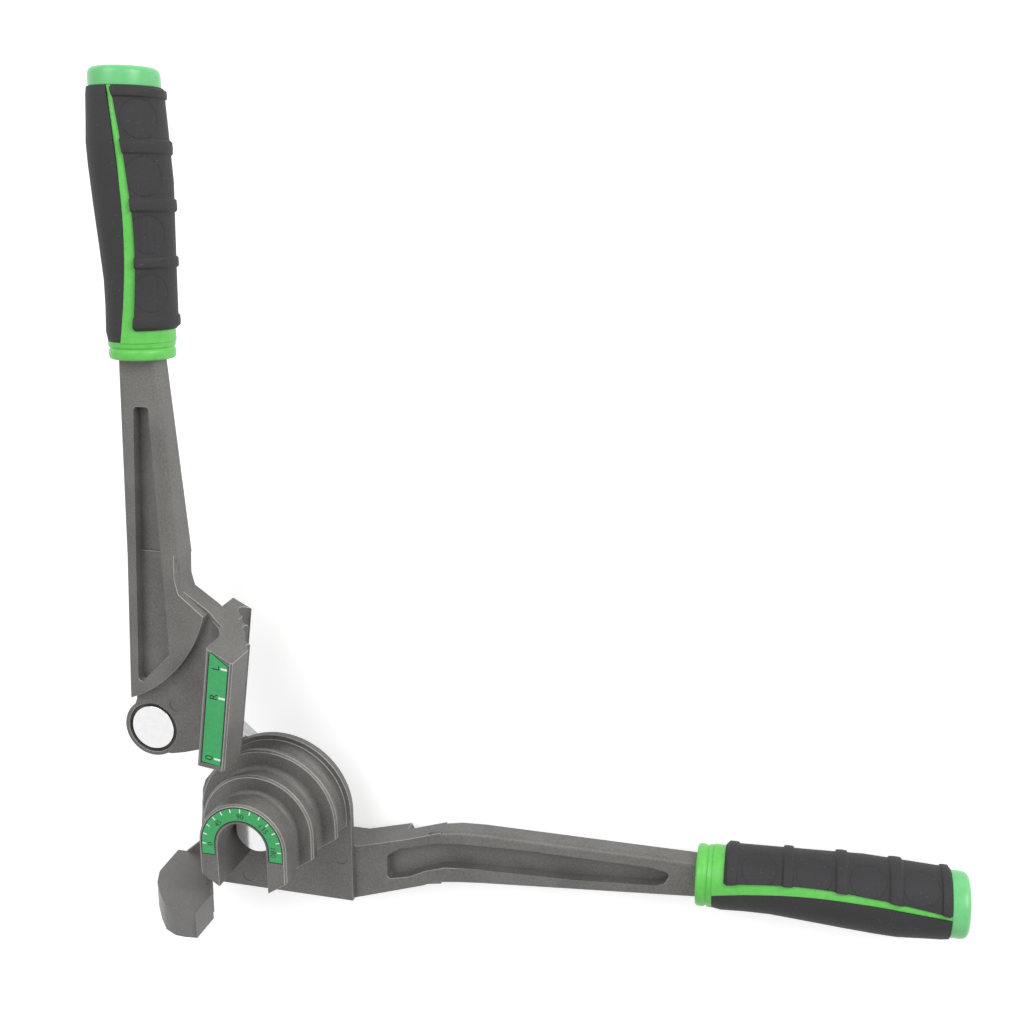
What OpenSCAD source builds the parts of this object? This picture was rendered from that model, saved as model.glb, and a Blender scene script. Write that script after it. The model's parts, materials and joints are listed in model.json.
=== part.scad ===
// Three-size hand tube bender: stepped half-round former on the lower handle,
// stepped forming shoe on the upper handle, joined by a bright link on two pins.
// The origin is on the former's axis at its front face. +Z points out of the former.

/* [Tubes] */
// Outside diameters of the three tubes, front groove to back groove
tube_small_d = 6; // [5:0.5:6.5]
tube_mid_d = 8; // [7:0.5:8.5]
tube_large_d = 10; // [9:0.5:10.5]
// Bend radii of the three grooves, to the tube's centre line
bend_small_r = 23; // [22:0.5:24]
bend_mid_r = 30; // [29:0.5:31]
bend_large_r = 37.5; // [36.5:0.5:38.5]
// Clearance round each tube in its groove
groove_play = 0.1; // [0.05:0.05:0.2]

/* [Former] */
// Width of the front lip, between the dial face and the small groove
front_lip = 11.1; // [9:0.5:13]
// Width of the land between the small and the middle groove
mid_land = 5.2; // [4:0.2:6]
// Width of the land between the middle and the large groove
large_land = 3.1; // [2.4:0.1:4]
// Width of the lip between the large groove and the plate
back_lip = 1.2; // [1:0.1:1.6]
// Bevel on the edges of the lips
lip_bevel = 1; // [0.4:0.1:1]
// How far the round flange stands out past the large groove's radius
flange_out = 2; // [1.5:0.25:3]
// Half width of the arched hollow in the former
hollow_r = 13; // [12.2:0.2:13.4]
// Depth of the hub that carries the centre pin, below the dial face
hub_depth = 20; // [17:1:24]
// Lowest point of the two legs, below the axis
leg_drop = 24; // [22:0.5:26]
// Height at which the outer edge of the legs' ends starts, below the axis
leg_edge_drop = 16.5; // [14:0.5:18]
// Slope of the legs' ends
leg_end_slope = 34; // [28:1:40]

/* [Base plate] */
// Thickness of the plate behind the former
plate_t = 4; // [3:0.5:6]
// Bottom edge of the plate, below the axis
plate_drop = 50.8; // [48:0.4:54]
// Reach of the plate under the hook, from the axis
plate_reach = 58; // [56:0.5:60]

/* [Hook] */
// How far the hook stands in front of the dial face
hook_front = 7.4; // [5:0.2:8]
// Top of the hook, below the axis
hook_top_drop = 35; // [33:0.5:37]
// Bottom of the hook, below the axis
hook_bottom_drop = 49.5; // [47.5:0.5:50.5]
// Clearance round the tubes in the hook's notches
notch_play = 0.35; // [0.2:0.05:0.5]
// Diameter of the two screws that hold the hook
screw_d = 4; // [3:0.5:5]

/* [Pins] */
// Diameter of the two pivot pins
pin_d = 10; // [8:0.5:11]
// Diameter of the pins' heads
pin_head_d = 22.6; // [20:0.2:24]
// Thickness of the pins' heads
pin_head_t = 3; // [2:0.25:4]
// Running clearance round the pins
pin_play = 0.05; // [0.02:0.01:0.09]
// Gap between turning faces
face_gap = 0.1; // [0.05:0.05:0.2]
// Thickness of the thin washers
washer_t = 0.5; // [0.3:0.1:1]
// Thickness of the retaining rings
clip_t = 1; // [0.8:0.1:1.4]

/* [Link] */
// Distance between the two pivot axes
link_len = 73.5; // [73:0.25:75]
// Thickness of the link
link_t = 8; // [6:0.5:9]
// Radius of the link's end round the former's axis
link_root_r = 14; // [12:0.5:15]
// Radius of the link's end round the handle pin
link_tip_r = 10.5; // [9:0.25:11.5]
// Direction of the link at rest, from the lower handle
link_angle = 136.4; // [120:0.2:150]

/* [Forming shoe] */
// Angle between the shoe's grooves and the upper handle
shoe_lean = 7.5; // [4:0.5:10]
// Gap between the shoe and the former
shoe_gap = 0.8; // [0.4:0.05:1]
// How far the shoe's face stands in front of the dial face
shoe_front = 6; // [4:0.5:8]
// Length of the shoe beyond the handle pin
shoe_len = 57; // [54:1:60]
// Width of the shoe's front block
shoe_block_w = 14; // [13:0.5:15]
// Width of the shoe behind the web, from its small-groove face
shoe_back_w = 25; // [23:0.5:27]
// Slope of the shoe's far end
shoe_end_slope = 20; // [16:1:24]
// Draft of the shoe's far end, from its front face to its back
shoe_end_draft = 2.5; // [0:0.5:4]
// Radius of the boss round the handle pin
boss_r = 15; // [14:0.25:16]
// Depth of the web's front below the dial face
web_depth = 16; // [15:0.5:17]
// Thickness of the web
web_t = 12; // [10:0.5:13]
// Radius of the hollow blend from the web up to the shoe's front block
shoe_blend_r = 9.8; // [6:0.2:10.5]
// Depth of the handle's raised front face below the dial face
arm_depth = 11; // [10:0.5:12]
// Radius of the raised face's round lower edge
ridge_r = 69; // [66:1:72]

/* [Arms] */
// Length of the upper arm, from the handle pin to the grip
upper_arm_len = 185.7; // [170:1:200]
// Length of the lower arm, from the former's axis to the grip
lower_arm_len = 217.4; // [205:1:230]
// Width of both arms at the grip
arm_w = 19.6; // [17:0.2:21]
// Thickness of both arms at the grip
arm_t = 12; // [11:0.5:13]
// Rounding of the arms' long edges
arm_round = 2.5; // [1.5:0.25:3.5]
// Depth of the pockets in the arms
pocket_depth = 6; // [4:0.5:7]
// Distance of the upper grip's axis from the handle pin, sideways
upper_grip_offset = 7.8; // [6:0.2:9]
// Distance of the lower grip's axis below the former's axis
lower_grip_drop = 14; // [12:0.5:15]
// Depth of the lower arm's front below the plate's front
lower_arm_step = 3.5; // [3:0.25:4.5]
// Rounding of the pockets' corners
pocket_round = 1.6; // [0.5:0.1:1.8]
// Depth of the round marks that the ejector pins leave in the castings
mark_depth = 0.3; // [0.2:0.1:0.6]

/* [Grips] */
// Length of each grip
grip_len = 126.3; // [115:1:140]
// Radius of the end cap and of the green strip at its ends
grip_r = 15.5; // [14.5:0.25:16.5]
// Radius of the collar bead at the arm's end
collar_r = 15; // [14.2:0.2:15.4]
// Radius of the hard core under the rubber panels
core_r = 13.4; // [12:0.2:14]
// Length of the end cap
cap_len = 8.4; // [7:0.2:12]
// Length of the collar
collar_len = 8; // [7:0.5:9]
// How much further the palm panel runs towards the arm than the finger panel
panel_step = 5.5; // [3:0.5:7]
// Height of the cross bands on the finger panel
band_rise = 0.6; // [0.3:0.1:1]
// Radius of the tang inside the grip
tang_r = 5.5; // [4.5:0.25:5.7]
// Half width of the green strip at the collar
strip_collar_half_w = 3.2; // [2:0.1:4]
// Half width of the green strip at the cap
strip_cap_half_w = 1.1; // [0.8:0.1:2]
// Sideways place of the green strip at its ends
strip_side = 1.4; // [0:0.1:3]
// How far the green strip swings further to the side between its ends
strip_swing = 4.9; // [2:0.1:6]
// Radius of the screw in the grip's end
end_screw_r = 2.5; // [2:0.25:3]
// Angle by which the lower grip leans off its arm
lower_grip_lean = 1; // [0:0.1:2]

/* [Labels] */
// Thickness of the green label films
dial_t = 0.4; // [0.2:0.05:0.6]
// Border between the dial label and the hollow
dial_inner_gap = 1; // [0.8:0.1:1.4]
// Border round the shoe label
shoe_label_border = 1.4; // [1:0.1:1.8]

/* [Hidden] */
$fn = 96;

// Colours of the real pieces
cast_grey = [0.45, 0.44, 0.43];
hook_grey = [0.52, 0.52, 0.51];
bright_steel = [0.86, 0.86, 0.88];
grip_green = [0.38, 0.78, 0.36];
dial_green = [0.22, 0.66, 0.36];
rubber_grey = [0.2, 0.2, 0.21];

// One overrun for every cut, and one slice for the ends of blended shapes
over = 1;
slice = 0.1;
// Slip between fixed pieces that slide together when the tool is put together
slip = 0.05;

// The three grooves, front to back: radius of the tube, bend radius
tube_r = [tube_small_d / 2, tube_mid_d / 2, tube_large_d / 2];
bend_r = [bend_small_r, bend_mid_r, bend_large_r];
groove_r = [for (r = tube_r) r + groove_play];

// Heights, all measured from the dial face
small_top = -front_lip;
small_bottom = small_top - 2 * groove_r[0];
mid_top = small_bottom - mid_land;
mid_bottom = mid_top - 2 * groove_r[1];
large_top = mid_bottom - large_land;
large_bottom = large_top - 2 * groove_r[2];
groove_z = [small_top - groove_r[0], mid_top - groove_r[1], large_top - groove_r[2]];
plate_front = large_bottom - back_lip;
plate_back = plate_front - plate_t;
flange_r = bend_large_r + flange_out;

// Pins, washers and rings: the same stack on both axes
pin_r = pin_d / 2;
pin_head_r = pin_head_d / 2;
bore_r = pin_r + pin_play;
washer_r = link_tip_r - 1.2 * washer_t;
link_front = plate_back - washer_t - face_gap;
link_back = link_front - link_t;
back_washer_front = link_back - face_gap;
clip_front = back_washer_front - washer_t - slip;
clip_back = clip_front - clip_t;
clip_seat_r = 0.86 * pin_r;
clip_r = 1.5 * pin_r;
clip_mouth = 1.3 * pin_r;
pin_tail = 1.2 * clip_t;
pin_end = clip_back - pin_tail;
hub_front = -hub_depth;

// The handle pin's place at rest
pin_at = [link_len * cos(link_angle), link_len * sin(link_angle), 0];

// Shoe, measured from the handle pin: faces towards the former, front to back
step_gap = 10 * face_gap;
shoe_reach = [for (r = bend_r) link_len - r - shoe_gap];
shoe_back = plate_front + step_gap;
shoe_block_left = shoe_reach[0] - shoe_block_w;
shoe_back_left = shoe_reach[0] - shoe_back_w;
shoe_toe_share = 0.02;
shoe_toe = shoe_toe_share * shoe_len;
shoe_heel_share = 0.1;
shoe_heel = shoe_heel_share * shoe_len;
web_front = -web_depth;
web_back = web_front - web_t;
boss_back = shoe_back - 0.75 * plate_t;
counterbore_r = pin_head_r + 1.7;
counterbore_depth = pin_head_t + 2 * face_gap;
handle_head_front = web_front - face_gap;
handle_head_back = handle_head_front - pin_head_t;

// Arms
arm_front = -arm_depth;
upper_grip_z = arm_front - arm_t / 2 - 0.04 * arm_t;
lower_arm_front = plate_front - lower_arm_step;
lower_grip_z = lower_arm_front - arm_t / 2 - 0.04 * arm_t;
lower_root_t_share = 1.6;
tang_len_share = 0.86;
tang_len = tang_len_share * grip_len;

// Outline of the upper handle's raised face: across in arm widths, along in arm lengths
raised_shares = [[-0.4, 0.07], [-0.4, 0.1], [-0.26, 0.37], [-0.2, 0.5], [1.05, 0.5], [1.02, 0.46], [1.02, 0.43],
    [1.1, 0.395]];
// Far tip of the raised face and the web's side by the shoe: across in shoe reaches, along in shoe lengths
raised_tip_share = [0.68, 1.11];
web_shoe_shares = [[0.69, 1.13], [0.8763, 0.953], [0.7492, -0.1043], [0.5477, -0.1466]];
// Outline of the web between boss, arm and shoe, in arm widths and lengths, on both sides of the shoe's points
web_shares = [[-0.72, 0], [-0.4, 0.08], [-0.26, 0.37], [-0.2, 0.5], [1.05, 0.5], [1.02, 0.43], [1.1, 0.395]];
web_low_shares = [[0.86, -0.062], [0.52, -0.07], [0.3, -0.07], [0, -0.04]];
// Rounded bars that make the upper arm: along, middle and width, in arm lengths and widths
upper_bar_shares = [[0.105, -0.32, 0.26], [0.49, 0.423, 1.366]];
// Pocket of the upper arm, in the same measures
upper_pocket_shares = [[-0.16, 0.13], [0.06, 0.155], [0.74, 0.225], [0.74, 0.25], [0.62, 0.88], [0.24, 0.88]];
// Centre of the ridge circle, in arm widths and lengths
ridge_centre_share = [-1.66, 0.44];

// Outline of the lower arm: across in plate drops, along in arm lengths, top edge then bottom edge
lower_top_shares = [[0.09, -0.33], [0.19, -0.4], [0.21, -0.375], [0.32, -0.24], [0.4, -0.125]];
lower_bottom_shares = [[0.4, -0.7], [0.37, -0.72], [flange_r / lower_arm_len, -1], [0.09, -1]];
// Thicker root behind the plate and the first stretch of the arm, in the same measures
lower_root_shares = [[0.09, -0.4], [0.19, -0.4], [0.3, -0.27], [0.36, -0.74], [flange_r / lower_arm_len, -1],
    [0.09, -1]];
// Rounded bars that make the lower arm: along, middle and width, in arm lengths and plate drops
lower_bar_shares = [[0.37, -0.435, 0.57], [0.44, -0.3825, 0.585], [0.5, -0.3625, 0.57]];
// Pocket of the lower arm, in the same measures
lower_pocket_shares = [[0.265, -0.46], [0.3, -0.36], [0.39, -0.25], [0.45, -0.225], [0.6, -0.2], [0.9, -0.2],
    [0.93, -0.225], [0.94, -0.26], [0.93, -0.35], [0.91, -0.385], [0.73, -0.44], [0.59, -0.465], [0.49, -0.48],
    [0.41, -0.51], [0.36, -0.58], [0.32, -0.67], [0.265, -0.73]];

// Outline of the plate's left side, in plate reaches
plate_left_shares = [[-0.62, 0.29], [-0.73, 0.15], [-0.76, 0.06], [-0.785, -0.23], [-0.81, -0.47],
    [-0.98, -0.62], [-1, -0.66], [-1, -0.85]];

// Hook, in plate reaches from the axis and in hook heights from the plate
hook_h = hook_front - plate_front;
hook_outer_shares = [[-0.4, 0.9], [-0.4, 0.985], [-0.5, 1], [-0.6, 0.995], [-0.72, 0.93], [-0.84, 0.78], [-0.96, 0.6],
    [-1.03, 0.42], [-1.04, 0.25], [-1.05, 0]];
hook_inner_gap = 1.4 * groove_play;
hook_mid_drop = (hook_top_drop + hook_bottom_drop) / 2;
hook_screw_shares = [0.9, 0.785];

// Screws
screw_r = screw_d / 2;
screw_head_r = 2 * screw_r;
screw_head_t = screw_head_r - screw_r;
screw_in = 4 * screw_d;
socket_share = 0.6;
end_screw_head_r = 1.8 * end_screw_r;
screw_hold_share = 0.16;
screw_hold = screw_hold_share * grip_len;

// Labels
dial_outer_r_share = 0.943;
dial_leg_share = 0.26;

// Ejector marks: places in plate drops on the plate, in arm widths on the web, and radii
plate_mark_shares = [[0.657, -0.519], [-0.39, -0.872]];
web_mark_share = [0.694, 0.696];
mark_r_share = 0.7;
mark_r = mark_r_share * pin_r;

// Grips, each drawn along +Y from the end of its arm, with its front towards +Z
palm_start = collar_len;
finger_start = palm_start + panel_step;
pad_end = grip_len - cap_len;
cap_wall_share = 0.35;
cap_wall = cap_wall_share * cap_len;
strip_steps = 24;
// Radii along the grip, in grip radii, from the collar to the cap
finger_shares = [[0, 1.04], [0.04, 1.09], [0.3, 1.13], [0.5, 1.165], [0.62, 1.19], [0.85, 1.12], [0.97, 1.08], [1, 1.05]];
palm_shares = [[0, 0.96], [0.04, 1], [0.14, 0.965], [0.25, 0.955], [0.4, 1.02], [0.55, 1.09], [0.7, 1.15],
    [0.79, 1.165], [0.9, 1.11], [0.97, 1.08], [1, 1.05]];
strip_shares = [[0, 1], [0.14, 0.98], [0.3, 1.02], [0.5, 1.09], [0.62, 1.12], [0.79, 1.1], [0.9, 1.06], [1, 1]];
// Cross bands of the finger panel: middle and half width, in grip lengths
band_shares = [[0.136, 0.024], [0.344, 0.022], [0.54, 0.025], [0.735, 0.028], [0.912, 0.018]];
collar_profile_shares = [[0.95, 0], [0.985, 0.08], [1, 0.25], [1, 0.4], [0.985, 0.52], [0.955, 0.58], [0.955, 0.64],
    [0.99, 0.7], [1, 0.8], [1, 1]];
cap_profile_shares = [[1, 0], [1, 0.55], [0.985, 0.75], [0.95, 0.88], [0.88, 0.97], [0.8, 1]];

function scaled(points, sx, sy) = [for (p = points) [p[0] * sx, p[1] * sy]];

// Half section of the former, radius across and height up, from the hollow's centre line
module former_section() {
    difference() {
        polygon([[0, plate_front - plate_t / 2], [0, 0], [bend_r[0] - lip_bevel, 0],
            [bend_r[0], -lip_bevel], [bend_r[0], small_bottom], [bend_r[1] - lip_bevel, small_bottom],
            [bend_r[1], small_bottom - lip_bevel], [bend_r[1], mid_bottom],
            [bend_r[2] - lip_bevel, mid_bottom], [bend_r[2], mid_bottom - lip_bevel],
            [bend_r[2], plate_front - plate_t / 2]]);
        for (i = [0:2])
            translate([bend_r[i], groove_z[i]])
                circle(r = groove_r[i]);
    }
}

// The legs carry the section on, straight down, past 0 and 180 degrees
module former_legs() {
    difference() {
        for (side = [0, 1])
            mirror([side, 0, 0])
                rotate([90, 0, 0])
                    linear_extrude(height = leg_drop)
                        former_section();
        for (side = [0, 1])
            mirror([side, 0, 0])
                translate([bend_small_r, -leg_edge_drop, plate_front])
                    rotate([0, 0, leg_end_slope])
                        translate([-bend_small_r, -2 * leg_drop, 0])
                            cube([3 * bend_small_r, 2 * leg_drop, front_lip - plate_front]);
    }
}

module former_body() {
    difference() {
        union() {
            intersection() {
                rotate_extrude()
                    former_section();
                translate([-flange_r, 0, plate_back])
                    cube([2 * flange_r, flange_r, over - plate_back]);
            }
            former_legs();
        }
        // Arched hollow, open at the bottom, down to the plate
        difference() {
            translate([0, 0, plate_front])
                linear_extrude(height = over - plate_front)
                    union() {
                        circle(r = hollow_r);
                        translate([-hollow_r, -leg_drop - over])
                            square([2 * hollow_r, leg_drop + over]);
                    }
            translate([0, 0, plate_back])
                cylinder(r = hollow_r, h = hub_front - plate_back);
        }
        translate([0, 0, -dial_t])
            linear_extrude(height = over)
                dial_outline(slip);
    }
}

module plate_outline() {
    circle(r = flange_r);
    polygon(concat([[0, 0], [0, 0.6 * flange_r]], scaled(plate_left_shares, plate_reach, plate_reach),
        [[-plate_reach + over, -plate_drop], [flange_r, -plate_drop], [flange_r, 0]]));
}

// A blended bar along X through rounded sections: place along, middle, width and thickness of each
module arm_bar(sections) {
    hull()
        for (s = sections)
            for (side = [-1, 1])
                for (level = [-arm_round, arm_round - s[3]])
                    translate([s[0] - slice, s[1] + side * (s[2] / 2 - arm_round), level])
                        rotate([0, 90, 0])
                            cylinder(r = arm_round, h = slice, $fn = 24);
}

// A pocket cut from above, with rounded corners
module pocket(points) {
    translate([0, 0, -pocket_depth])
        linear_extrude(height = pocket_depth + over)
            offset(r = pocket_round, $fn = 24)
                offset(delta = -pocket_round)
                    polygon(points);
}

// The round mark that an ejector pin leaves, cut down from its face
module ejector_mark() {
    translate([0, 0, -mark_depth])
        cylinder(r = mark_r, h = mark_depth + over, $fn = 48);
}

module lower_arm() {
    l = lower_arm_len;
    d = plate_drop;
    b = lower_bar_shares;
    translate([0, 0, lower_arm_front]) {
        difference() {
            union() {
                translate([0, 0, -arm_t])
                    linear_extrude(height = arm_t)
                        polygon(scaled(concat(lower_top_shares, lower_bottom_shares), l, d));
                translate([0, 0, -lower_root_t_share * arm_t])
                    linear_extrude(height = lower_root_t_share * arm_t)
                        polygon(scaled(lower_root_shares, l, d));
                for (i = [0:1])
                    arm_bar([for (k = [i, i + 1]) [b[k][0] * l, b[k][1] * d, b[k][2] * d, arm_t]]);
                arm_bar([[b[2][0] * l, b[2][1] * d, b[2][2] * d, arm_t],
                    [l - arm_w / 2 * sin(lower_grip_lean), -lower_grip_drop, arm_w, arm_t]]);
            }
            pocket(scaled(lower_pocket_shares, l, d));
        }
    }
}

module tang(z) {
    translate([0, 0, z])
        rotate([-90, 0, 0])
            difference() {
                translate([0, 0, -tang_r])
                    cylinder(r = tang_r, h = tang_len + tang_r);
                translate([0, 0, tang_len - screw_hold])
                    cylinder(r = end_screw_r + slip, h = screw_hold + over);
            }
}

module former_handle() {
    color(cast_grey)
        difference() {
            union() {
                former_body();
                translate([0, 0, plate_back])
                    linear_extrude(height = plate_t)
                        plate_outline();
                // Rib that joins the plate to the deeper arm
                translate([0, 0, lower_arm_front - over])
                    linear_extrude(height = plate_front - lower_arm_front + over)
                        polygon([[0.6 * flange_r, -0.4 * plate_drop], [flange_r, -0.45 * plate_drop],
                            [flange_r, -plate_drop], [0.6 * flange_r, -plate_drop]]);
                lower_arm();
                translate([lower_arm_len, -lower_grip_drop, 0])
                    rotate([0, 0, lower_grip_lean - 90])
                        tang(lower_grip_z);
            }
            translate([0, 0, plate_back - over])
                cylinder(r = pin_r + slip, h = hub_front - plate_back + 2 * over);
            hook_screw_places()
                screw_hole();
            for (share = plate_mark_shares)
                translate([share[0] * plate_drop, share[1] * plate_drop, plate_front])
                    ejector_mark();
        }
}

// Two countersunk screws come up through the plate into the hook
module hook_screw_places() {
    for (share = hook_screw_shares)
        translate([-share * plate_reach, -hook_mid_drop, plate_back])
            children();
}

module screw_hole() {
    translate([0, 0, -over])
        cylinder(r = screw_r + slip, h = plate_t + 2 * over);
    cylinder(r1 = screw_head_r + slip, r2 = screw_r + slip, h = screw_head_t);
    translate([0, 0, -over])
        cylinder(r = screw_head_r + slip, h = over);
}

module hook_screws() {
    color(bright_steel)
        hook_screw_places()
            difference() {
                union() {
                    cylinder(r1 = screw_head_r, r2 = screw_r, h = screw_head_t);
                    cylinder(r = screw_r, h = screw_in);
                }
                // Hexagon socket
                translate([0, 0, -over])
                    cylinder(r = socket_share * screw_r, h = screw_head_t + over, $fn = 6);
            }
}

// The hook's notches keep each tube against its groove
module hook_section() {
    h = hook_h;
    z0 = plate_front;
    difference() {
        polygon(concat([[-bend_r[0] - hook_inner_gap, hook_front]],
            [for (p = hook_outer_shares) [p[0] * plate_reach, z0 + p[1] * h]],
            [[-bend_r[2] - hook_inner_gap, z0], [-bend_r[2] - hook_inner_gap, mid_bottom],
            [-bend_r[1] - hook_inner_gap, mid_bottom], [-bend_r[1] - hook_inner_gap, small_bottom],
            [-bend_r[0] - hook_inner_gap, small_bottom]]));
        for (i = [0:2])
            translate([-bend_r[i], groove_z[i]])
                circle(r = tube_r[i] + notch_play);
        // The webs between the notches are cut back to blunt points
        translate([-bend_r[0] - tube_r[0] - over, small_bottom - mid_land / 2])
            square([2 * tube_r[0] + over, mid_land / 2 + over]);
        translate([-bend_r[1] - 0.6 * tube_r[1] - over, mid_bottom - large_land])
            square([2 * tube_r[1] + over, large_land + over]);
    }
}

module tube_hook() {
    color(hook_grey)
        difference() {
            translate([0, -hook_top_drop, 0])
                rotate([90, 0, 0])
                    linear_extrude(height = hook_bottom_drop - hook_top_drop)
                        hook_section();
            hook_screw_places()
                cylinder(r = screw_r + slip, h = screw_in + over);
        }
}

// Dial label: a U of green film between two radii, legs ending just below the axis
module dial_outline(gap) {
    outer = dial_outer_r_share * bend_small_r + gap;
    inner = hollow_r + dial_inner_gap - gap;
    leg = dial_leg_share * bend_small_r + gap;
    difference() {
        union() {
            circle(r = outer);
            translate([-outer, -leg])
                square([2 * outer, leg]);
        }
        circle(r = inner);
        translate([-inner, -leg - over])
            square([2 * inner, leg + over]);
        translate([-outer - over, -outer - over - leg])
            square([2 * (outer + over), outer + over]);
    }
}

module former_scale() {
    color(dial_green)
        translate([0, 0, -dial_t])
            linear_extrude(height = dial_t)
                dial_outline(0);
}

// A pin drawn down from the front of its head, with a seat for the retaining ring
module pin(head_front) {
    color(bright_steel)
        difference() {
            union() {
                translate([0, 0, head_front - pin_head_t])
                    cylinder(r = pin_head_r, h = pin_head_t);
                translate([0, 0, pin_end])
                    cylinder(r = pin_r, h = head_front - pin_end - pin_head_t);
            }
            translate([0, 0, clip_back - slip])
                difference() {
                    cylinder(r = pin_r + over, h = clip_t + 2 * slip);
                    translate([0, 0, -over])
                        cylinder(r = clip_seat_r, h = clip_t + 2 * over);
                }
        }
}

module ring(top, t, inner, outer) {
    color(bright_steel)
        translate([0, 0, top - t])
            difference() {
                cylinder(r = outer, h = t);
                translate([0, 0, -over])
                    cylinder(r = inner, h = t + 2 * over);
            }
}

// Open retaining ring in the pin's seat
module clip() {
    difference() {
        ring(clip_front, clip_t, clip_seat_r + slip, clip_r);
        translate([0, -clip_mouth / 2, clip_back - over])
            cube([clip_r + over, clip_mouth, clip_t + 2 * over]);
    }
}

module centre_pin() pin(hub_front + pin_head_t);
module centre_washer() ring(plate_back, washer_t, pin_r + slip, washer_r);
module centre_back_washer() ring(back_washer_front, washer_t, pin_r + slip, washer_r);
module centre_clip() color(bright_steel) clip();

// Flat link with two round ends and straight tangent sides
function arc(x, r, from, to, steps = 32) =
    [for (i = [0:steps]) let(a = from + (to - from) * i / steps) [x + r * cos(a), r * sin(a)]];

module link_outline() {
    lean = asin((link_root_r - link_tip_r) / link_len);
    polygon(concat(arc(link_len, link_tip_r, lean - 90, 90 - lean),
        arc(0, link_root_r, 90 - lean, 270 + lean)));
}

module link() {
    color(bright_steel)
        rotate([0, 0, link_angle])
            translate([0, 0, link_back])
                difference() {
                    linear_extrude(height = link_t)
                        link_outline();
                    translate([0, 0, -over])
                        cylinder(r = bore_r, h = link_t + 2 * over);
                    translate([link_len, 0, -over])
                        cylinder(r = pin_r + slip, h = link_t + 2 * over);
                }
}

module handle_pin() translate(pin_at) pin(handle_head_front);
module handle_washer() translate(pin_at)
    ring(boss_back - face_gap, boss_back - face_gap - link_front, pin_r + slip, washer_r);
module handle_back_washer() translate(pin_at) ring(link_back, washer_t, pin_r + slip, washer_r);
module handle_clip() translate(pin_at) color(bright_steel) clip();

// Shoe section across its grooves: distance from the handle pin across, height up
module shoe_section() {
    blend_left = shoe_block_left - shoe_blend_r;
    blend_low = web_front - 2 * face_gap;
    difference() {
        polygon(concat([[shoe_block_left, shoe_front - lip_bevel], [shoe_block_left + lip_bevel, shoe_front],
            [shoe_reach[0] - lip_bevel, shoe_front], [shoe_reach[0], shoe_front - lip_bevel],
            [shoe_reach[0], small_bottom + step_gap], [shoe_reach[1], small_bottom + step_gap],
            [shoe_reach[1], mid_bottom + step_gap], [shoe_reach[2], mid_bottom + step_gap],
            [shoe_reach[2], shoe_back], [shoe_back_left, shoe_back], [shoe_back_left, web_front - web_t / 4],
            [blend_left, web_front - web_t / 4]],
            [for (a = [90:-15:0]) [blend_left + shoe_blend_r * cos(a), blend_low + shoe_blend_r * (1 - sin(a))]]));
        for (i = [0:2])
            translate([link_len - bend_r[i], groove_z[i]])
                circle(r = groove_r[i]);
    }
}

module shoe() {
    length = shoe_len + shoe_heel + 4 * shoe_toe;
    height = shoe_front - shoe_back + 2 * over;
    difference() {
        union() {
            rotate([90, 0, 0])
                mirror([0, 0, 1])
                    linear_extrude(height = length)
                        shoe_section();
            // The heel turns round the handle pin, so it passes the former
            intersection() {
                rotate_extrude()
                    shoe_section();
                translate([0, -shoe_heel, shoe_back - over])
                    cube([2 * shoe_reach[0], shoe_heel, height]);
            }
        }
        // Far end, sloped back from the former
        translate([shoe_reach[0], shoe_len - 2 * shoe_toe, shoe_front])
            rotate([shoe_end_draft, 0, -shoe_end_slope])
                translate([-2 * shoe_reach[0], 0, -height])
                    cube([4 * shoe_reach[0], length, height + 2 * over]);
        // Near end, cut back under the label
        rotate([90, 0, 90])
            linear_extrude(height = 2 * shoe_reach[0])
                polygon([[-2 * shoe_heel, shoe_front + over], [-shoe_toe, shoe_front + over],
                        [-shoe_toe, -arm_depth / 2], [-shoe_heel - slip, web_front - web_t / 3],
                        [-2 * shoe_heel, web_front - web_t / 3]]);
    }
}

// Raised face of the upper handle, cut off along the ridge
module raised_outline() {
    w = arm_w;
    l = upper_arm_len;
    tip = [raised_tip_share[0] * shoe_reach[0], raised_tip_share[1] * shoe_len];
    intersection() {
        polygon(concat(scaled(raised_shares, w, l), [tip, [tip[0], 0], [raised_shares[0][0] * w, 0]]));
        union() {
            translate([ridge_centre_share[0] * w, ridge_centre_share[1] * l])
                circle(r = ridge_r);
            translate([-w, tip[1]])
                square([3 * w, l]);
        }
    }
}

module upper_arm() {
    l = upper_arm_len;
    w = arm_w;
    root_t = arm_front - web_back;
    b = upper_bar_shares;
    difference() {
        union() {
            translate([0, 0, web_back])
                linear_extrude(height = root_t)
                    raised_outline();
            translate([0, 0, arm_front])
                rotate([0, 0, 90]) {
                    arm_bar([for (p = b) [p[0] * l, -p[1] * w, p[2] * w, root_t]]);
                    arm_bar([[b[1][0] * l, -b[1][1] * w, b[1][2] * w, root_t],
                        [l, -upper_grip_offset, w, arm_t]]);
                }
        }
        translate([0, 0, arm_front])
            pocket(scaled(upper_pocket_shares, w, l));
    }
}

module web_outline() {
    polygon(concat(scaled(web_shares, arm_w, upper_arm_len), scaled(web_shoe_shares, shoe_reach[0], shoe_len),
        scaled(web_low_shares, arm_w, upper_arm_len)));
}

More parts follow.
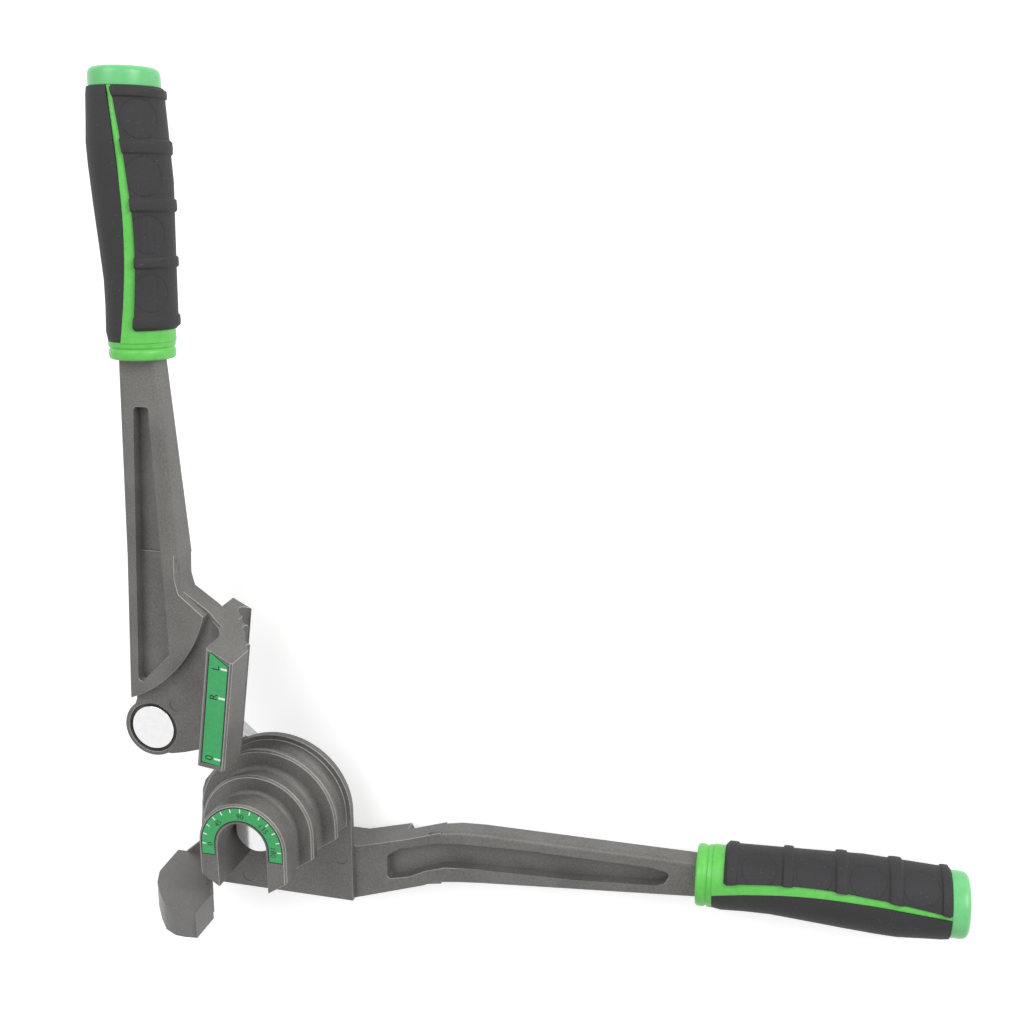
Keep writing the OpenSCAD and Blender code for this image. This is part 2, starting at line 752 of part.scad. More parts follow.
module shoe_handle() {
    color(cast_grey)
        translate(pin_at)
            difference() {
                union() {
                    rotate([0, 0, -shoe_lean])
                        shoe();
                    upper_arm();
                    translate([0, 0, web_back])
                        linear_extrude(height = web_t)
                            web_outline();
                    translate([0, 0, boss_back])
                        cylinder(r = boss_r, h = web_front - boss_back);
                    translate([upper_grip_offset, upper_arm_len, 0])
                        tang(upper_grip_z);
                }
                translate([0, 0, web_front - counterbore_depth])
                    cylinder(r = counterbore_r, h = counterbore_depth + over);
                translate([0, 0, boss_back - over])
                    cylinder(r = bore_r, h = web_front - boss_back + 2 * over);
                translate([web_mark_share[0] * arm_w, web_mark_share[1] * arm_w, web_front])
                    ejector_mark();
                rotate([0, 0, -shoe_lean])
                    translate([0, 0, shoe_front - dial_t])
                        linear_extrude(height = dial_t + over)
                            shoe_label_outline(slip);
            }
}

// Shoe label: a strip with a sloped far end
module shoe_label_outline(gap) {
    left = shoe_block_left + 1.4 * shoe_label_border - gap;
    right = shoe_reach[0] - shoe_label_border + gap;
    low = shoe_toe - gap;
    far = shoe_len - 3.4 * shoe_toe;
    rise = (right - left) * tan(1.4 * shoe_end_slope);
    polygon([[left, low], [right, low], [right, far + gap], [left + shoe_label_border, far + rise + gap],
        [left, far + rise - shoe_label_border + gap]]);
}

module shoe_scale() {
    color(dial_green)
        translate(pin_at)
            rotate([0, 0, -shoe_lean])
                translate([0, 0, shoe_front - dial_t])
                    linear_extrude(height = dial_t)
                        shoe_label_outline(0);
}

// What follows is a revolve about the grip's axis
module along_grip() {
    rotate([-90, 0, 0])
        children();
}

// A length of the grip turned to a table of radii, round an inner radius
module turned(inner, shares, radius, from, to) {
    span = to - from;
    along_grip()
        translate([0, 0, from])
            rotate_extrude()
                polygon(concat([for (p = shares) [p[1] * radius, p[0] * span]], [[inner, span], [inner, 0]]));
}

// The green strip swings to the finger side and narrows towards the cap
function strip_x(share) = strip_side + strip_swing * sin(180 * share);
function strip_half(share) = strip_collar_half_w + (strip_cap_half_w - strip_collar_half_w) * share;
function strip_edge(side, gap) =
    [for (i = [0:strip_steps]) let(share = i / strip_steps)
        [strip_x(share) + side * (strip_half(share) + gap), palm_start + share * (pad_end - palm_start)]];

// Outline that a panel fills: side is 1 for the fingers and -1 for the palm
module panel_outline(side) {
    far = side * 2 * grip_r;
    intersection() {
        polygon(concat(strip_edge(side, slip), [[far, pad_end], [far, palm_start]]));
        translate([-2 * grip_r, side > 0 ? finger_start : palm_start])
            square([4 * grip_r, grip_len]);
    }
}

module grip_core() {
    span = pad_end - palm_start;
    color(grip_green)
        difference() {
            union() {
                along_grip()
                    cylinder(r = core_r, h = pad_end);
                along_grip()
                    rotate_extrude()
                        polygon(concat([for (p = collar_profile_shares) [p[0] * collar_r, p[1] * collar_len]],
                            [[0, collar_len], [0, 0]]));
                intersection() {
                    turned(core_r - slice, strip_shares, grip_r, palm_start - slice, pad_end);
                    translate([0, 0, -2 * grip_r])
                        linear_extrude(height = 4 * grip_r)
                            union() {
                                polygon(concat(strip_edge(-1, 0), [for (i = [strip_steps:-1:0]) strip_edge(1, 0)[i]]));
                                translate([strip_side, palm_start - over])
                                    square([2 * grip_r, panel_step + over - slip]);
                                translate([strip_side - strip_collar_half_w, palm_start - over])
                                    square([strip_collar_half_w, 2 * over]);
                            }
                }
            }
            along_grip() {
                translate([0, 0, -over])
                    cylinder(r = tang_r + slip, h = tang_len + over + slip);
                cylinder(r = end_screw_r + slip, h = grip_len);
            }
        }
}

// Cross bands that stand up from the finger panel, with sloped sides
module bands() {
    for (b = band_shares) {
        middle = b[0] * grip_len;
        half = b[1] * grip_len;
        top = 1.06 * lookup((middle - finger_start) / (pad_end - finger_start), finger_shares) * grip_r;
        along_grip()
            translate([0, 0, middle - half])
                rotate_extrude()
                    polygon([[core_r + slip, 0], [top - 2 * band_rise, 0], [top - 0.2 * band_rise, 0.3 * half],
                        [top, half], [top - 0.2 * band_rise, 1.7 * half], [top - 2 * band_rise, 2 * half],
                        [core_r + slip, 2 * half]]);
    }
}

// Rubber panel on one side of the strip: side is 1 for the fingers and -1 for the palm
module grip_pad(side) {
    color(rubber_grey)
        intersection() {
            union() {
                turned(core_r + slip, side > 0 ? finger_shares : palm_shares, grip_r,
                    (side > 0 ? finger_start : palm_start) + slip, pad_end - slip);
                if (side > 0)
                    bands();
            }
            translate([0, 0, -2 * grip_r])
                linear_extrude(height = 4 * grip_r)
                    panel_outline(side);
        }
}

module grip_cap() {
    color(grip_green)
        along_grip()
            translate([0, 0, pad_end])
                difference() {
                    rotate_extrude()
                        polygon(concat([for (p = cap_profile_shares) [p[0] * grip_r, p[1] * cap_len]],
                            [[0, cap_len], [0, 0]]));
                    translate([0, 0, -over])
                        cylinder(r = end_screw_r + slip, h = cap_len + 2 * over);
                    translate([0, 0, cap_wall])
                        cylinder(r = end_screw_head_r + slip, h = cap_len);
                }
}

module grip_screw() {
    shank = pad_end + cap_wall - tang_len + screw_hold - slip + 0.2 * end_screw_r;
    color(bright_steel)
        along_grip()
            difference() {
                union() {
                    translate([0, 0, tang_len - screw_hold + slip])
                        cylinder(r = end_screw_r, h = shank);
                    translate([0, 0, pad_end + cap_wall])
                        cylinder(r = end_screw_head_r, h = end_screw_r);
                }
                translate([0, 0, pad_end + cap_wall + 0.4 * end_screw_r])
                    cylinder(r = socket_share * end_screw_r, h = end_screw_r, $fn = 6);
            }
}

module at_lower_grip() {
    translate([lower_arm_len, -lower_grip_drop, lower_grip_z])
        rotate([0, 0, lower_grip_lean - 90])
            mirror([1, 0, 0])
                children();
}

module at_upper_grip() {
    translate(pin_at + [upper_grip_offset, upper_arm_len, upper_grip_z])
        children();
}

former_handle();
tube_hook();
hook_screws();
former_scale();
centre_pin();
centre_washer();
centre_back_washer();
centre_clip();
link();
handle_pin();
handle_washer();
handle_back_washer();
handle_clip();
shoe_handle();
shoe_scale();
at_lower_grip() grip_core();  // lower_grip_core
at_lower_grip() grip_pad(1);  // lower_grip_upper_pad
at_lower_grip() grip_pad(-1);  // lower_grip_lower_pad
at_lower_grip() grip_cap();  // lower_grip_cap
at_lower_grip() grip_screw();  // lower_grip_screw
at_upper_grip() grip_core();  // upper_grip_core
at_upper_grip() grip_pad(-1);  // upper_grip_left_pad
at_upper_grip() grip_pad(1);  // upper_grip_right_pad
at_upper_grip() grip_cap();  // upper_grip_cap
at_upper_grip() grip_screw();  // upper_grip_screw
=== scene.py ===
"""Looks of the three-size hand tube bender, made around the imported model. All lengths are in metres."""

import json
import math

import bmesh
import bpy
from mathutils import Euler, Matrix, Vector
from mathutils.bvhtree import BVHTree


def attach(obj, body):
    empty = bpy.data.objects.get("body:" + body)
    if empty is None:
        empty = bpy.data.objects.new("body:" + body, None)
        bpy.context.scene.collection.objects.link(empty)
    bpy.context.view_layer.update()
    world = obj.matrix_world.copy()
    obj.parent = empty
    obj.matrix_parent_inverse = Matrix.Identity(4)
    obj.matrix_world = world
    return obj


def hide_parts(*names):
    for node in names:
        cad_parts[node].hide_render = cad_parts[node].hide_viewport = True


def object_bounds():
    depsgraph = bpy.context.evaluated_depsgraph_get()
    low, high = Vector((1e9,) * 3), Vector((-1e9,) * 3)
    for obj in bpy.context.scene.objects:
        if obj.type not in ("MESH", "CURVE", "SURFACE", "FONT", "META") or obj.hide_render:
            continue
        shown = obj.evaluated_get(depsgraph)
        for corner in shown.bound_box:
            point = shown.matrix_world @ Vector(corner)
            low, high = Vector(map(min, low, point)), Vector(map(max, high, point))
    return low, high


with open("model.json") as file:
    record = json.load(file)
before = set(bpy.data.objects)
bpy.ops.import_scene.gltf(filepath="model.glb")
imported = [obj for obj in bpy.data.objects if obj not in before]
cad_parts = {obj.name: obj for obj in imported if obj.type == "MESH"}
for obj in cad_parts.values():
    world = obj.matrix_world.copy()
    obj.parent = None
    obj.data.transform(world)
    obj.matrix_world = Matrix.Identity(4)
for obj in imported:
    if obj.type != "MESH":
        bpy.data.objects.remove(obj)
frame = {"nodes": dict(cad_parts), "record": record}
cad_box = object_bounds()
nodes = frame["nodes"]
MM = 0.001


# Camera, at the photograph's viewing angle
CAMERA_AT = (0.24967, 0.30647, 0.48234)
CAMERA_TURN = (-14.3053, 13.5224, 0.4756)
LENS = 42.145
SENSOR = 36.0

camera_data = bpy.data.cameras.new("camera")
camera_data.lens = LENS
camera_data.sensor_width = SENSOR
camera_data.clip_start = 0.01
camera_data.clip_end = 20.0
camera = bpy.data.objects.new("camera", camera_data)
camera.location = CAMERA_AT
camera.rotation_euler = Euler([math.radians(a) for a in CAMERA_TURN], "XYZ")
bpy.context.collection.objects.link(camera)
bpy.context.scene.camera = camera
bpy.context.scene.view_settings.view_transform = "Standard"


# Small helpers for node materials
def new_material(name):
    mat = bpy.data.materials.new(name)
    mat.use_nodes = True
    tree = mat.node_tree
    tree.nodes.clear()
    out = tree.nodes.new("ShaderNodeOutputMaterial")
    return mat, tree, out


def add(tree, kind, **values):
    node = tree.nodes.new(kind)
    for key, value in values.items():
        if hasattr(node, key) and key not in node.inputs:
            setattr(node, key, value)
        else:
            node.inputs[key].default_value = value
    return node


def rgb(r, g, b):
    """A linear colour from the 0 to 255 values that a screen shows."""

    def part(v):
        v = v / 255.0
        return v / 12.92 if v <= 0.04045 else ((v + 0.055) / 1.055) ** 2.4

    return (part(r), part(g), part(b), 1.0)


def grainy(name, dark, light, roughness, grain=900.0, bump=0.1, metallic=0.0, specks=None, coat=0.0):
    """Moulded or cast finish: two close tones in a fine grain, small bumps and a rough sheen."""
    mat, tree, out = new_material(name)
    bsdf = add(tree, "ShaderNodeBsdfPrincipled")
    bsdf.inputs["Metallic"].default_value = metallic
    bsdf.inputs["Coat Weight"].default_value = coat
    coord = add(tree, "ShaderNodeTexCoord")
    fine = add(tree, "ShaderNodeTexNoise", Scale=grain, Detail=3.0, Roughness=0.6)
    broad = add(tree, "ShaderNodeTexNoise", Scale=grain / 30.0, Detail=2.0, Roughness=0.5)
    tree.links.new(coord.outputs["Object"], fine.inputs["Vector"])
    tree.links.new(coord.outputs["Object"], broad.inputs["Vector"])
    both = add(tree, "ShaderNodeMath", operation="MULTIPLY_ADD")
    both.inputs[1].default_value = 0.55
    tree.links.new(fine.outputs["Fac"], both.inputs[0])
    part = add(tree, "ShaderNodeMath", operation="MULTIPLY")
    part.inputs[1].default_value = 0.45
    tree.links.new(broad.outputs["Fac"], part.inputs[0])
    tree.links.new(part.outputs[0], both.inputs[2])
    ramp = add(tree, "ShaderNodeValToRGB")
    ramp.color_ramp.elements[0].position = 0.36
    ramp.color_ramp.elements[0].color = dark
    ramp.color_ramp.elements[1].position = 0.64
    ramp.color_ramp.elements[1].color = light
    tree.links.new(both.outputs[0], ramp.inputs["Fac"])
    colour = ramp.outputs["Color"]
    if specks is not None:
        dots = add(tree, "ShaderNodeTexVoronoi", Scale=specks["scale"])
        tree.links.new(coord.outputs["Object"], dots.inputs["Vector"])
        near = add(tree, "ShaderNodeMath", operation="LESS_THAN")
        near.inputs[1].default_value = specks["size"]
        tree.links.new(dots.outputs["Distance"], near.inputs[0])
        mix = add(tree, "ShaderNodeMix", data_type="RGBA")
        tree.links.new(near.outputs[0], mix.inputs[0])
        tree.links.new(colour, mix.inputs[6])
        mix.inputs[7].default_value = specks["colour"]
        colour = mix.outputs[2]
    tree.links.new(colour, bsdf.inputs["Base Color"])
    sheen = add(tree, "ShaderNodeMapRange")
    sheen.inputs["To Min"].default_value = roughness - 0.06
    sheen.inputs["To Max"].default_value = roughness + 0.06
    tree.links.new(broad.outputs["Fac"], sheen.inputs["Value"])
    tree.links.new(sheen.outputs["Result"], bsdf.inputs["Roughness"])
    hill = add(tree, "ShaderNodeBump", Strength=bump, Distance=0.0002)
    tree.links.new(fine.outputs["Fac"], hill.inputs["Height"])
    tree.links.new(hill.outputs["Normal"], bsdf.inputs["Normal"])
    tree.links.new(bsdf.outputs[0], out.inputs["Surface"])
    return mat


CAST = grainy("cast_grey", rgb(96, 94, 91), rgb(122, 120, 117), 0.5, grain=1100.0, bump=0.35, metallic=0.25)
# A lighter tone of the casting, laid on the bevel strips of the two castings: a painted highlight along their
# edges.
EDGE_HIGHLIGHT = grainy("cast_edge_highlight", rgb(150, 148, 145), rgb(172, 170, 167), 0.4, grain=1100.0, bump=0.1, metallic=0.3)
HOOK = grainy("hook_grey", rgb(106, 105, 104), rgb(124, 123, 122), 0.45, grain=1300.0, bump=0.2, metallic=0.3)
STEEL = grainy(
    "bright_steel", rgb(236, 236, 237), rgb(246, 246, 247), 0.12, grain=300.0, bump=0.02, metallic=1.0)
FILM = grainy("green_film", rgb(52, 158, 90), rgb(64, 172, 102), 0.35, grain=500.0, bump=0.03)
GREEN = grainy("grip_green", rgb(92, 194, 78), rgb(108, 208, 92), 0.35, grain=260.0, bump=0.03)
CAP = grainy("cap_green", rgb(104, 196, 122), rgb(118, 206, 136), 0.3, grain=260.0, bump=0.02)
RUBBER = grainy(
    "rubber", rgb(34, 33, 35), rgb(46, 45, 47), 0.7, grain=1500.0, bump=0.3,
    specks={"scale": 520.0, "size": 0.07, "colour": rgb(112, 110, 110)},
)
BAR = grainy("bar_steel", rgb(186, 187, 190), rgb(204, 205, 208), 0.2, grain=300.0, bump=0.02, metallic=1.0)
BLACK = grainy("black_ink", rgb(18, 18, 18), rgb(28, 28, 28), 0.5, grain=700.0, bump=0.02)
WHITE = grainy("white_ink", rgb(232, 236, 232), rgb(244, 246, 244), 0.45, grain=700.0, bump=0.02)

BY_NODE = {
    "former_handle": CAST, "shoe_handle": CAST, "tube_hook": HOOK, "former_scale": FILM, "shoe_scale": FILM,
}


def finish_of(name):
    """The material and the record's slot of a CAD node."""
    if name in BY_NODE:
        slots = {CAST: "casting", HOOK: "hook_casting", FILM: "dial_film"}
        return BY_NODE[name], slots[BY_NODE[name]]
    if "pad" in name:
        return RUBBER, "grip_rubber"
    if "cap" in name:
        return CAP, "grip_plastic"
    if "core" in name:
        return GREEN, "grip_plastic"
    if name == "link":
        return BAR, "bright_steel"
    return STEEL, "bright_steel"


for name, obj in nodes.items():
    obj.data.materials.clear()
    obj.data.materials.append(finish_of(name)[0])


def piece(name, mesh, mat, body):
    """A new mesh piece with its finish, riding on a body."""
    mesh.materials.clear()
    mesh.materials.append(mat)
    obj = bpy.data.objects.new(name, mesh)
    bpy.context.collection.objects.link(obj)
    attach(obj, body)
    return obj


BODY_OF = {}
for body_name, members in frame["record"]["behaviour"]["bodies"].items():
    for member in members:
        BODY_OF[member] = body_name

# Castings and other hard pieces get rounded edges, on copies that stand for the CAD nodes; the rounded edges
# of the two castings carry a lighter material, a painted highlight.
WELD = 2e-6
FLAT_ANGLE = math.radians(0.6)
SHARP_ANGLE = math.radians(28.0)


def clean_copy(node):
    mesh = nodes[node].data.copy()
    bm = bmesh.new()
    bm.from_mesh(mesh)
    bmesh.ops.remove_doubles(bm, verts=bm.verts, dist=WELD)
    bmesh.ops.dissolve_degenerate(bm, edges=bm.edges, dist=WELD)
    bmesh.ops.dissolve_limit(bm, angle_limit=FLAT_ANGLE, verts=bm.verts, edges=bm.edges)
    for face in bm.faces:
        face.smooth = True
    bm.to_mesh(mesh)
    bm.free()
    mesh.set_sharp_from_angle(angle=SHARP_ANGLE)
    return mesh


ROOM = 4.0


def weigh_edges(mesh, width, angle):
    """Marks the outward edges to round: those whose two faces and two ends leave room for the bevel."""
    bm = bmesh.new()
    bm.from_mesh(mesh)
    weight = bm.edges.layers.float.new("bevel_weight_edge")
    room = ROOM * width

    def reach(edge, face):
        a = edge.verts[0].co
        way = (edge.verts[1].co - a).normalized()
        return max((v.co - a - way * (v.co - a).dot(way)).length for v in face.verts)

    for edge in bm.edges:
        if len(edge.link_faces) != 2 or not edge.is_convex or edge.calc_face_angle(0.0) < angle:
            continue
        near = [other.calc_length() for v in edge.verts for other in v.link_edges if other is not edge]
        if min(reach(edge, face) for face in edge.link_faces) >= room and min(near) >= width * 1.5:
            edge[weight] = 1.0
    bm.to_mesh(mesh)
    bm.free()


def soften(node, width, angle=28.0, segments=2, edge=None):
    mesh = clean_copy(node)
    mat, slot = finish_of(node)
    obj = piece(node + "_shown", mesh, mat, BODY_OF[node])
    if edge is not None:
        mesh.materials.append(edge)
    mod = obj.modifiers.new("edges", "BEVEL")
    mod.width = width
    mod.segments = segments
    if edge is None:
        mod.limit_method = "ANGLE"
        mod.angle_limit = math.radians(angle)
    else:
        weigh_edges(mesh, width, math.radians(angle))
        mod.limit_method = "WEIGHT"
    mod.harden_normals = True
    mod.use_clamp_overlap = edge is None
    if edge is not None:
        # The bevel strips take the second material, the lighter one: a painted highlight along the edges.
        mod.material = 1
        even = obj.modifiers.new("faces", "WEIGHTED_NORMAL")
        even.keep_sharp = True
    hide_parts(node)
    return obj


soften("former_handle", 0.22 * MM, edge=EDGE_HIGHLIGHT)
soften("shoe_handle", 0.22 * MM, edge=EDGE_HIGHLIGHT)
soften("tube_hook", 0.5 * MM)
for side in ("lower", "upper"):
    soften(side + "_grip_core", 0.35 * MM)
    soften(side + "_grip_cap", 0.4 * MM)
for node in ("lower_grip_upper_pad", "lower_grip_lower_pad", "upper_grip_left_pad", "upper_grip_right_pad"):
    soften(node, 0.5 * MM)
for node in ("centre_pin", "handle_pin"):
    soften(node, 0.35 * MM)
soften("link", 0.5 * MM)


# Faint raised rings between the bands of the finger pads
RING_R = 8.3
RING_WIRE = 0.16
RING_ALONG = (30.3, 55.9, 80.5, 104.4)
RING_STEPS = 48
RING_SIDES = 6
RING_FLATTEN = 1.6
SIDE_SHARE = 1.15
CAST_FROM = 62.0


def pad_rings(node, start, along, across):
    """Rings laid on a finger pad: along is the grip's direction, across is the fingers' side."""
    solid = bmesh.new()
    solid.from_mesh(nodes[node].data)
    solid.transform(nodes[node].matrix_world)
    surface = BVHTree.FromBMesh(solid)
    solid.free()
    front = Vector((0, 0, 1))
    facing = (front + across * SIDE_SHARE).normalized()
    side = along.cross(facing).normalized()
    mesh = bpy.data.meshes.new(node + "_rings")
    bm = bmesh.new()
    for spot in RING_ALONG:
        centre = start + along * spot * MM
        rows = []
        for k in range(RING_STEPS):
            a = 2 * math.pi * k / RING_STEPS
            out = along * math.cos(a) + side * math.sin(a)
            at = centre + out * RING_R * MM
            hit, normal, _, _ = surface.ray_cast(at + facing * CAST_FROM * MM, -facing)
            if hit is None or (hit - at).dot(facing) < 0:
                rows.append(None)
                continue
            rows.append([
                bm.verts.new(hit + (out * math.cos(t) * RING_FLATTEN + normal * math.sin(t)) * RING_WIRE * MM)
                for t in [2 * math.pi * i / RING_SIDES for i in range(RING_SIDES)]
            ])
        for k in range(RING_STEPS):
            one, two = rows[k], rows[(k + 1) % RING_STEPS]
            if one is None or two is None:
                continue
            for i in range(RING_SIDES):
                j = (i + 1) % RING_SIDES
                bm.faces.new([one[i], one[j], two[j], two[i]])
    for face in bm.faces:
        face.smooth = True
    bmesh.ops.holes_fill(bm, edges=[e for e in bm.edges if e.is_boundary])
    bmesh.ops.recalc_face_normals(bm, faces=bm.faces)
    bm.to_mesh(mesh)
    bm.free()
    piece(node + "_rings", mesh, RUBBER, BODY_OF[node])


LOWER_GRIP_LEAN = math.radians(1.0)


def points(node):
    return [nodes[node].matrix_world @ v.co for v in nodes[node].data.vertices]


def grip_start(side):
    """Foot of a grip on its own axis, its direction and its fingers' side."""
    spots = points(side + "_grip_screw")
    middle = sum(spots, Vector()) / len(spots)
    core = points(side + "_grip_core")
    if side == "upper":
        return Vector((middle.x, min(p.y for p in core), middle.z)), Vector((0, 1, 0)), Vector((1, 0, 0))
    along = Vector((math.cos(LOWER_GRIP_LEAN), math.sin(LOWER_GRIP_LEAN), 0))
    across = Vector((-along.y, along.x, 0))
    foot = min(p.x for p in core)
    return middle + along * (foot - middle.x), along, across


for side, pad in (("upper", "upper_grip_right_pad"), ("lower", "lower_grip_upper_pad")):
    pad_rings(pad, *grip_start(side))


# Prints on the two labels
INK = 0.03 * MM


def flat(bm, loop, place, low_z=0.0):
    """A thin printed patch with the given outline in millimetres, stood on its label."""
    low_ring = [bm.verts.new(place @ Vector((x * MM, y * MM, low_z))) for x, y in loop]
    top_ring = [bm.verts.new(place @ Vector((x * MM, y * MM, low_z + INK))) for x, y in loop]
    count = len(loop)
    bm.faces.new(top_ring)
    bm.faces.new(list(reversed(low_ring)))
    for k in range(count):
        bm.faces.new([low_ring[k], low_ring[(k + 1) % count], top_ring[(k + 1) % count], top_ring[k]])


def band(bm, path, width, place):
    """A thin printed line of the given width along an open path in millimetres."""
    left, right = [], []
    for k, (x, y) in enumerate(path):
        x0, y0 = path[max(k - 1, 0)]
        x1, y1 = path[min(k + 1, len(path) - 1)]
        length = math.hypot(x1 - x0, y1 - y0)
        nx, ny = -(y1 - y0) / length * width / 2, (x1 - x0) / length * width / 2
        left.append((x + nx, y + ny))
        right.append((x - nx, y - ny))
    for k in range(len(path) - 1):
        flat(bm, [right[k], right[k + 1], left[k + 1], left[k]], place)


def printed(name, bm, mat, body):
    mesh = bpy.data.meshes.new(name)
    bmesh.ops.recalc_face_normals(bm, faces=bm.faces)
    bm.to_mesh(mesh)
    bm.free()
    return piece(name, mesh, mat, body)


def lettering(bm, text, size, place):
    """Adds the outline of a text, centred on place, as a thin print."""
    curve = bpy.data.curves.new("text", "FONT")
    curve.body = text
    curve.size = size * MM
    curve.align_x = "CENTER"
    curve.align_y = "CENTER"
    curve.extrude = INK / 2
    curve.resolution_u = 4
    holder = bpy.data.objects.new("text", curve)
    bpy.context.collection.objects.link(holder)
    bpy.context.view_layer.update()
    shape = bpy.data.meshes.new_from_object(holder.evaluated_get(bpy.context.evaluated_depsgraph_get()))
    shape.transform(place @ Matrix.Translation((0, 0, INK / 2)))
    bm.from_mesh(shape)
    bpy.data.objects.remove(holder)
    bpy.data.curves.remove(curve)
    bpy.data.meshes.remove(shape)


def extent(node, place):
    """Low and high corner of a CAD node in millimetres, measured in the given frame."""
    back = place.inverted()
    spots = [back @ p for p in points(node)]
    return [[f(p[k] for p in spots) / MM for k in range(3)] for f in (min, max)]


# Dial: thirteen ticks, five angles and a thin outline
DIAL_PLACE = Matrix.Identity(4)
dial_low, dial_high = extent("former_scale", DIAL_PLACE)
DIAL_OUTER = dial_high[0]
DIAL_INNER = 14.0
DIAL_LEG = -dial_low[1]
TICK_R = (18.9, 20.9)
TICK_W = 0.55
DIGIT_R = 16.6
DIGIT_SIZE = 3.9

ticks = bmesh.new()
for k in range(13):
    a = math.radians(180 - 15 * k)
    c, s = math.cos(a), math.sin(a)
    band(ticks, [(TICK_R[0] * c, TICK_R[0] * s), (TICK_R[1] * c, TICK_R[1] * s)], TICK_W, DIAL_PLACE)
printed("dial_ticks", ticks, WHITE, "lower_side")

digits = bmesh.new()
for value in (0, 45, 90, 135, 180):
    a = math.radians(180 - value)
    spot = Matrix.Translation((DIGIT_R * MM * math.cos(a), DIGIT_R * MM * math.sin(a), 0))
    lettering(digits, str(value), DIGIT_SIZE, DIAL_PLACE @ spot @ Matrix.Rotation(a - math.pi / 2, 4, "Z"))
printed("dial_digits", digits, BLACK, "lower_side")

edge = bmesh.new()
LINE = 0.55
EDGE_IN = 0.3
outer, inner = DIAL_OUTER - EDGE_IN, DIAL_INNER + EDGE_IN
steps = 72
turns = [math.pi * k / steps for k in range(steps + 1)]
arc_out = [(outer * math.cos(a), outer * math.sin(a)) for a in turns]
arc_in = [(inner * math.cos(a), inner * math.sin(a)) for a in turns]
leg = -DIAL_LEG + EDGE_IN
path = [(inner, leg), (outer, leg)] + arc_out + [(-outer, leg), (-inner, leg)]
path += list(reversed(arc_in)) + [(inner, leg)]
band(edge, path, LINE, DIAL_PLACE)
printed("dial_outline", edge, BLACK, "lower_side")

# Shoe label: three marks, each with its sign, and a thin outline
PIN_AT = (-53.2267, 50.6868)
SHOE_FRONT = 6.0
SHOE_PLACE = Matrix.Translation((PIN_AT[0] * MM, PIN_AT[1] * MM, SHOE_FRONT * MM)) @ Matrix.Rotation(
    math.radians(-7.5), 4, "Z")
label_low, label_high = extent("shoe_scale", SHOE_PLACE)
RISE = 5.67
LABEL = {
    "left": label_low[0], "right": label_high[0],
    "low": label_low[1], "far": label_high[1] - RISE, "rise": RISE,
}
MARKS = (("0", 4.5), ("R", 36.3), ("L", 51.2))
MARK_IN, MARK_OUT, MARK_W = 4.0, 0.7, 1.0
SIGN_AT, SIGN_SIZE = 41.9, 5.6

marks = bmesh.new()
signs = bmesh.new()
for sign, u in MARKS:
    band(marks, [(LABEL["right"] - MARK_IN, u), (LABEL["right"] - MARK_OUT, u)], MARK_W, SHOE_PLACE)
    spot = Matrix.Translation((SIGN_AT * MM, u * MM, 0)) @ Matrix.Rotation(math.pi / 2, 4, "Z")
    lettering(signs, sign, SIGN_SIZE, SHOE_PLACE @ spot)
printed("shoe_marks", marks, WHITE, "upper_side")
printed("shoe_signs", signs, BLACK, "upper_side")

edge = bmesh.new()
x0, x1 = LABEL["left"] + EDGE_IN, LABEL["right"] - EDGE_IN
y0, y1, rise = LABEL["low"] + EDGE_IN, LABEL["far"] - EDGE_IN, LABEL["rise"]
corner = [(x0 + 1.2, y1 + rise - 0.2), (x0, y1 + rise - 1.2)]
band(edge, [(x0, y0), (x1, y0), (x1, y1)] + corner + [(x0, y0)], LINE, SHOE_PLACE)
printed("shoe_outline", edge, BLACK, "upper_side")


# Floor, studio light
low = cad_box[0][2]
FLOOR_HALF = 6.0

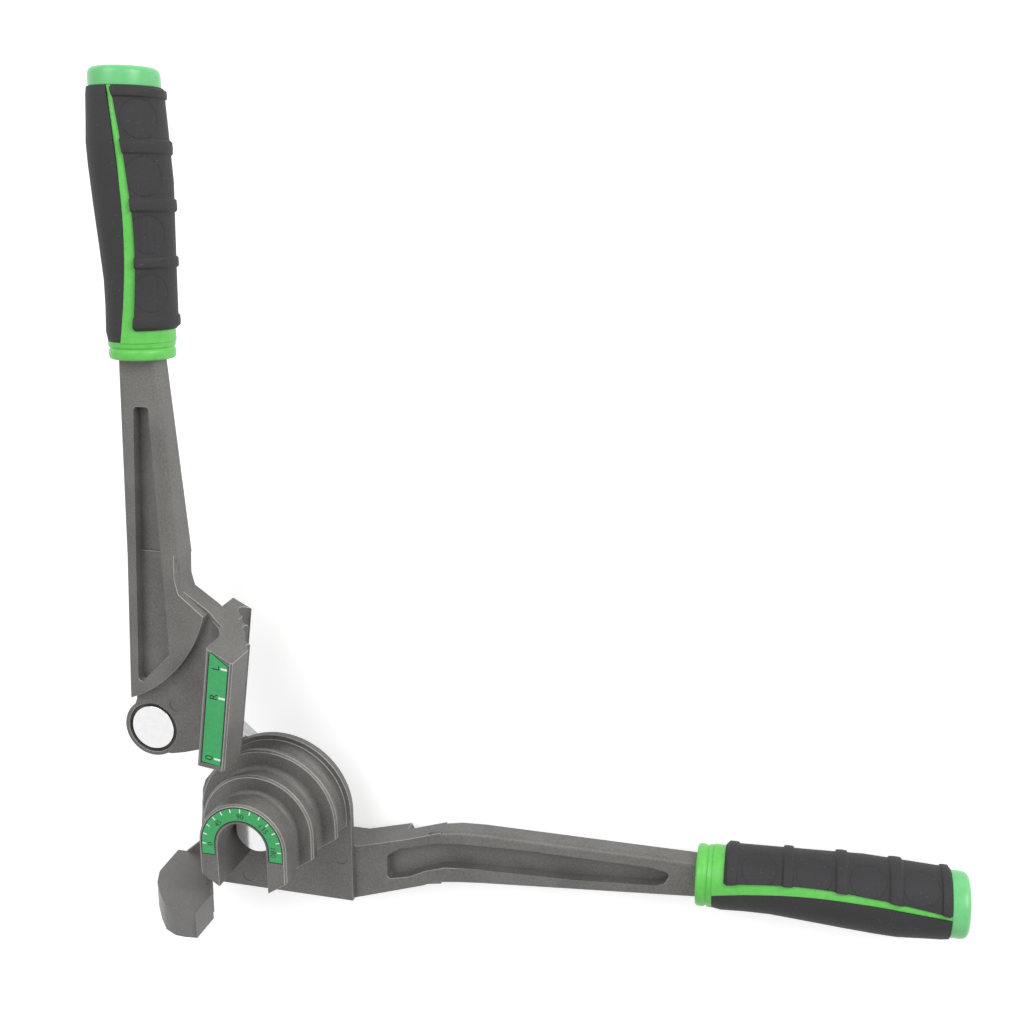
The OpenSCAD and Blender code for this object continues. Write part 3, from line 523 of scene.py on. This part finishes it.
floor_mesh = bpy.data.meshes.new("floor")
floor_mesh.from_pydata(
    [(-FLOOR_HALF, -FLOOR_HALF, low), (FLOOR_HALF, -FLOOR_HALF, low),
     (FLOOR_HALF, FLOOR_HALF, low), (-FLOOR_HALF, FLOOR_HALF, low)],
    [], [(0, 1, 2, 3)],
)
floor = bpy.data.objects.new("floor", floor_mesh)
bpy.context.collection.objects.link(floor)
mat, tree, out = new_material("floor_white")
diffuse = add(tree, "ShaderNodeBsdfDiffuse", Color=(0.86, 0.86, 0.86, 1.0))
glow = add(tree, "ShaderNodeEmission", Color=(1.0, 1.0, 1.0, 1.0))
path = add(tree, "ShaderNodeLightPath")
seen = add(tree, "ShaderNodeMath", operation="MAXIMUM")
tree.links.new(path.outputs["Is Camera Ray"], seen.inputs[0])
tree.links.new(path.outputs["Is Glossy Ray"], seen.inputs[1])
seen_all = add(tree, "ShaderNodeMath", operation="MAXIMUM")
tree.links.new(seen.outputs[0], seen_all.inputs[0])
tree.links.new(path.outputs["Is Transmission Ray"], seen_all.inputs[1])
lift = add(tree, "ShaderNodeMath", operation="MULTIPLY")
lift.inputs[1].default_value = 0.5
tree.links.new(seen_all.outputs[0], lift.inputs[0])
tree.links.new(lift.outputs[0], glow.inputs["Strength"])
both = add(tree, "ShaderNodeAddShader")
tree.links.new(diffuse.outputs[0], both.inputs[0])
tree.links.new(glow.outputs[0], both.inputs[1])
tree.links.new(both.outputs[0], out.inputs["Surface"])
floor_mesh.materials.append(mat)

world = bpy.data.worlds.new("studio")
bpy.context.scene.world = world
world.use_nodes = True
tree = world.node_tree
tree.nodes.clear()
out = tree.nodes.new("ShaderNodeOutputWorld")
back = add(tree, "ShaderNodeBackground", Color=(1.0, 1.0, 1.0, 1.0))
path = add(tree, "ShaderNodeLightPath")
seen = add(tree, "ShaderNodeMath", operation="MAXIMUM")
tree.links.new(path.outputs["Is Camera Ray"], seen.inputs[0])
tree.links.new(path.outputs["Is Glossy Ray"], seen.inputs[1])
level = add(tree, "ShaderNodeMapRange")
level.inputs["To Min"].default_value = 0.5
level.inputs["To Max"].default_value = 1.0
tree.links.new(seen.outputs[0], level.inputs["Value"])
tree.links.new(level.outputs["Result"], back.inputs["Strength"])
tree.links.new(back.outputs[0], out.inputs["Surface"])


def lamp(name, at, aim, size, power):
    data = bpy.data.lights.new(name, "AREA")
    data.shape = "DISK"
    data.size = size
    data.energy = power
    obj = bpy.data.objects.new(name, data)
    obj.location = at
    obj.rotation_euler = (Vector(aim) - Vector(at)).to_track_quat("-Z", "Y").to_euler()
    bpy.context.collection.objects.link(obj)


CENTRE = (0.13, 0.15, -0.03)
lamp("key", (-0.7, 1.6, 1.9), CENTRE, 1.8, 24.0)
lamp("side", (1.7, 1.3, 0.9), CENTRE, 1.4, 24.0)
